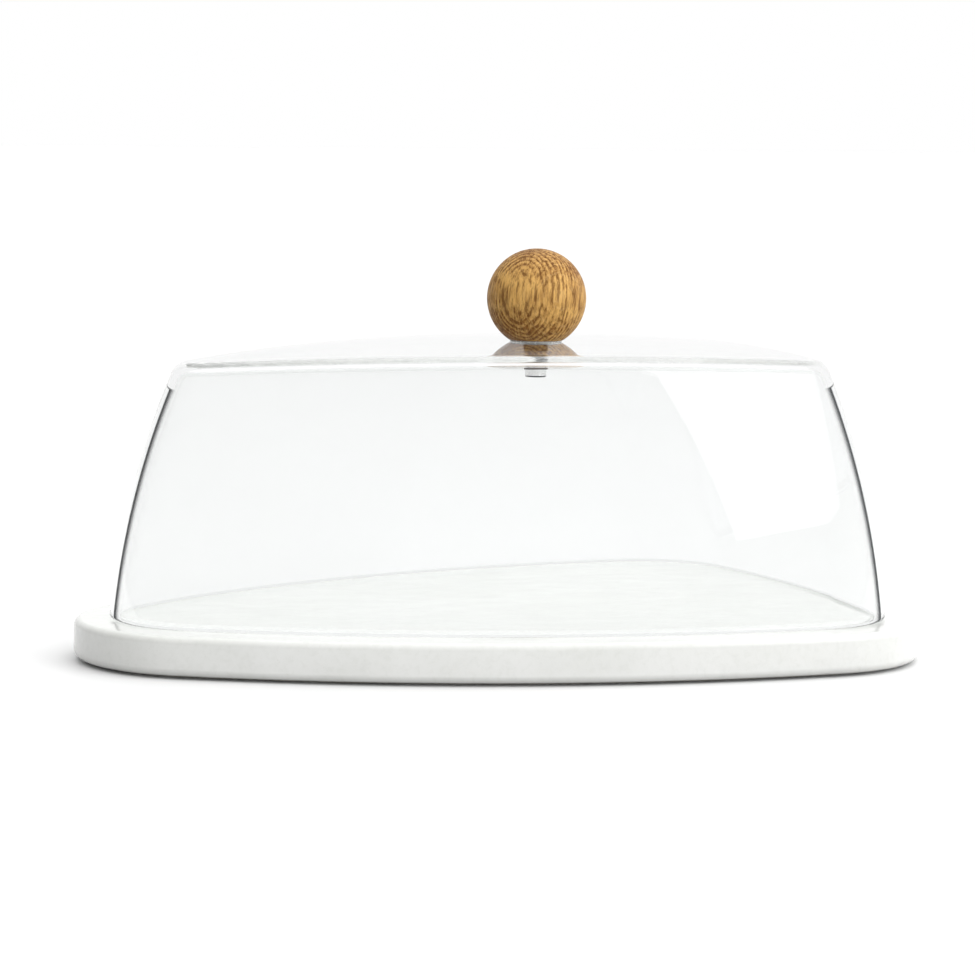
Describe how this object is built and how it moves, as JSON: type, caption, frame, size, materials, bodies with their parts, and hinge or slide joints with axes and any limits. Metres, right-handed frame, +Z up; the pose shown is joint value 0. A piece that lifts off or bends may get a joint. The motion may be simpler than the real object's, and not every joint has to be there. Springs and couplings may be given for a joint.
{
  "type": "cheese dome",
  "caption": "Rounded wedge-shaped ceramic dish with a clear glass cover that lifts off by a turned oak ball knob.",
  "frame": {"origin": "on the table, under the middle of the dish's outline", "axes": "+X from the dish's narrow tip to its wide end, +Y across, +Z up"},
  "size_m": [0.29, 0.2052, 0.1402],
  "materials": {
    "glazed_white": "glossy white glaze",
    "clear_glass": "clear, polished",
    "oak": "oiled oak, satin",
    "clear_silicone": "translucent silicone, matt",
    "dark_rubber": "dark rubber, matt",
    "brass": "bright turned",
    "steel": "bright stainless"
  },
  "bodies": {
    "dish": {"dish": "glazed_white"},
    "cover": {"glass_cover": "clear_glass", "knob": "oak", "knob_pad": "clear_silicone", "threaded_insert": "brass", "glass_sleeve": "steel", "soft_washer": "dark_rubber", "steel_washer": "steel", "screw": "steel"}
  },
  "joints": [
    {"name": "cover_lift", "type": "slide", "parent": "dish", "child": "cover", "axis": [0, 0, 1], "range_m": [0, 0.15]}
  ]
}
